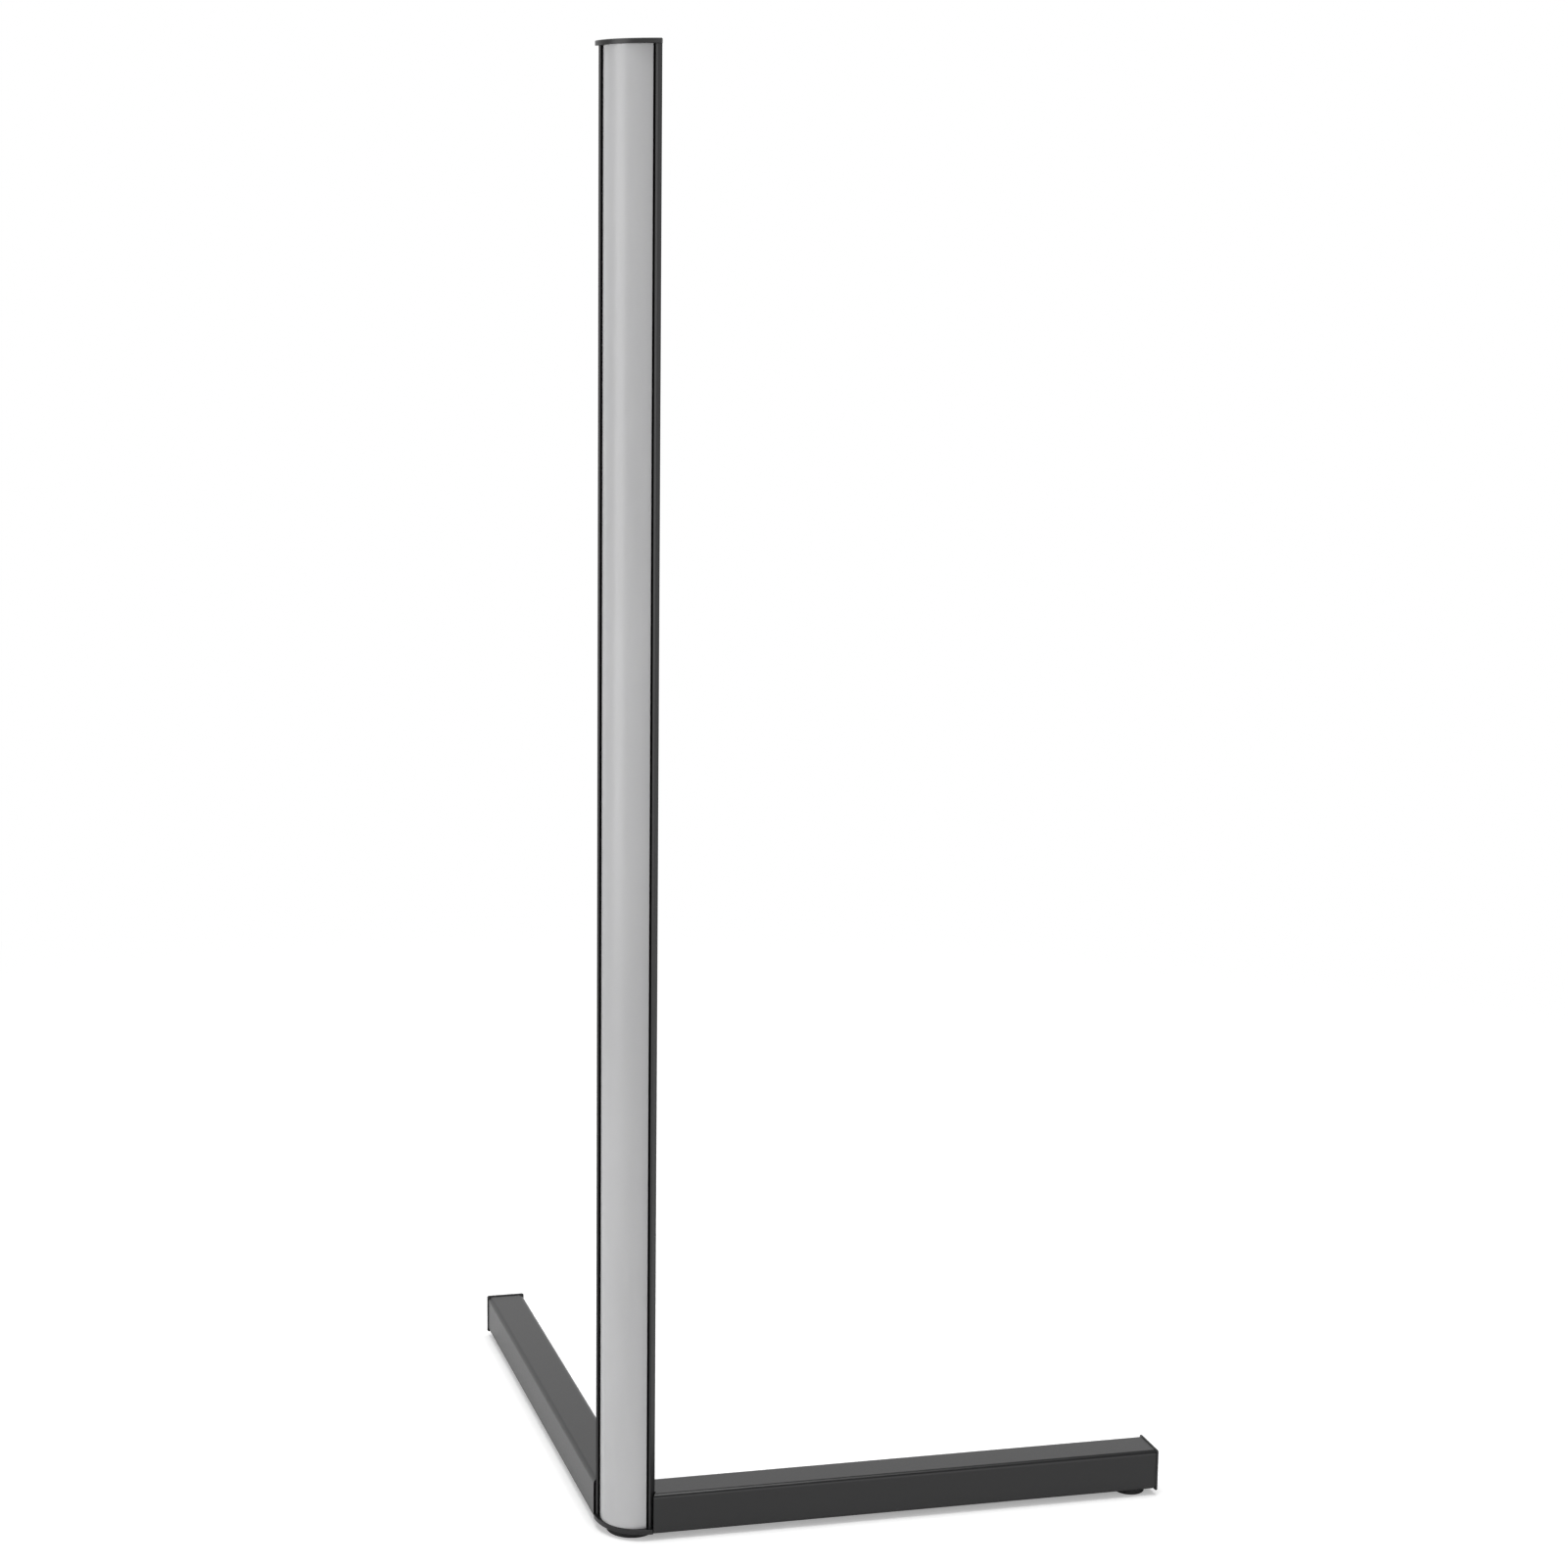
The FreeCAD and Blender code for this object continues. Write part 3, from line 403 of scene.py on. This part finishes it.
def makeFloor():
    bpy.ops.mesh.primitive_plane_add(size=floorLook["size"])
    floor = bpy.context.object
    floor.name = "studioFloor"
    material = bpy.data.materials.new("paleFloor")
    material.use_nodes = True
    tree = material.node_tree
    tree.nodes.clear()
    output = addNode(tree, "ShaderNodeOutputMaterial")
    colour = linear(floorLook["colour"])
    paint = addNode(tree, "ShaderNodeBsdfDiffuse", inputs={"Color": colour}).outputs["BSDF"]
    glow = addNode(
        tree, "ShaderNodeEmission", inputs={"Color": colour, "Strength": floorLook["lift"]}
    )
    lifted = addNode(tree, "ShaderNodeAddShader", links={0: paint, 1: glow.outputs["Emission"]})
    white = addNode(tree, "ShaderNodeEmission", inputs={"Color": backdropWhite})
    # past the sweep the floor is seen as the white backdrop, so no horizon shows
    place = addNode(tree, "ShaderNodeTexCoord").outputs["Object"]
    away = addNode(tree, "ShaderNodeVectorMath", {"operation": "LENGTH"}, links={"Vector": place})
    start, end = floorLook["sweep"]
    near = addNode(
        tree,
        "ShaderNodeMapRange",
        {"interpolation_type": "SMOOTHSTEP"},
        {"From Min": start, "From Max": end, "To Min": 1.0, "To Max": 0.0},
        {"Value": away.outputs["Value"]},
    )
    swept = addNode(
        tree,
        "ShaderNodeMixShader",
        links={
            0: near.outputs["Result"],
            1: white.outputs["Emission"],
            2: lifted.outputs["Shader"],
        },
    )
    seen = addNode(tree, "ShaderNodeLightPath").outputs["Is Camera Ray"]
    final = addNode(
        tree, "ShaderNodeMixShader", links={0: seen, 1: paint, 2: swept.outputs["Shader"]}
    )
    tree.links.new(final.outputs["Shader"], output.inputs["Surface"])
    floor.data.materials.append(material)


room = {
    "level": 0.36,
    # polish sees a darker room at both sides and overhead: where each starts, ends, and its share
    "darkSides": (0.5, 0.9, 0.6),
    "darkCeiling": (0.48, 0.66, 0.12),
}


def makeWorld():
    world = bpy.data.worlds.new("studioWorld")
    bpy.context.scene.world = world
    world.use_nodes = True
    tree = world.node_tree
    tree.nodes.clear()
    output = addNode(tree, "ShaderNodeOutputWorld")
    rays = addNode(tree, "ShaderNodeLightPath").outputs
    toward = addNode(tree, "ShaderNodeTexCoord").outputs["Generated"]
    sides = addNode(tree, "ShaderNodeSeparateXYZ", links={"Vector": toward}).outputs
    sideways = addNode(tree, "ShaderNodeMath", {"operation": "ABSOLUTE"}, links={0: sides["X"]})
    shares = []
    for way, name in ((sideways.outputs["Value"], "darkSides"), (sides["Z"], "darkCeiling")):
        start, end, share = room[name]
        fade = addNode(
            tree,
            "ShaderNodeMapRange",
            {"interpolation_type": "SMOOTHSTEP"},
            {"From Min": start, "From Max": end, "To Min": 1.0, "To Max": share},
            {"Value": way},
        )
        shares.append(fade.outputs["Result"])
    shown = addNode(
        tree, "ShaderNodeMath", {"operation": "MULTIPLY"}, links={0: shares[0], 1: shares[1]}
    )
    plain = addNode(tree, "ShaderNodeBackground", inputs={"Color": backdropWhite})
    even = addNode(
        tree, "ShaderNodeBackground", inputs={"Color": backdropWhite, "Strength": room["level"]}
    )
    gloss = addNode(
        tree,
        "ShaderNodeBackground",
        inputs={"Color": backdropWhite},
        links={"Strength": shown.outputs["Value"]},
    )
    lit = addNode(
        tree,
        "ShaderNodeMixShader",
        links={
            0: rays["Is Glossy Ray"],
            1: even.outputs["Background"],
            2: gloss.outputs["Background"],
        },
    )
    # seen straight on or through clear plastic, the room is plain white
    straight = addNode(
        tree,
        "ShaderNodeMath",
        {"operation": "MAXIMUM"},
        links={0: rays["Is Camera Ray"], 1: rays["Is Transmission Ray"]},
    )
    final = addNode(
        tree,
        "ShaderNodeMixShader",
        links={
            0: straight.outputs["Value"],
            1: lit.outputs["Shader"],
            2: plain.outputs["Background"],
        },
    )
    tree.links.new(final.outputs["Shader"], output.inputs["Surface"])


lamps = {
    # name: place, what it faces, width, height, watts
    "keyBox": ((-2.9, -0.8, 0.9), (0, 0, 0.6), 2.1, 2.2, 34),
    "topBox": ((0.1, 0.0, 5.0), (0.1, 0.1, 0), 3.0, 3.0, 165),
    "frontBox": ((1.2, -3.6, 1.0), (0, 0, 0.5), 2.2, 1.8, 8),
}


def makeLamps():
    for name, (place, target, width, height, watts) in lamps.items():
        data = bpy.data.lights.new(name, "AREA")
        data.shape = "RECTANGLE"
        data.size, data.size_y, data.energy = width, height, watts
        lamp = bpy.data.objects.new(name, data)
        bpy.context.scene.collection.objects.link(lamp)
        lamp.location = place
        lamp.rotation_euler = (Vector(target) - Vector(place)).to_track_quat("-Z", "Y").to_euler()


makeFloor()
makeWorld()
makeLamps()
bpy.context.scene.view_settings.view_transform = "Standard"
print("studio ready")
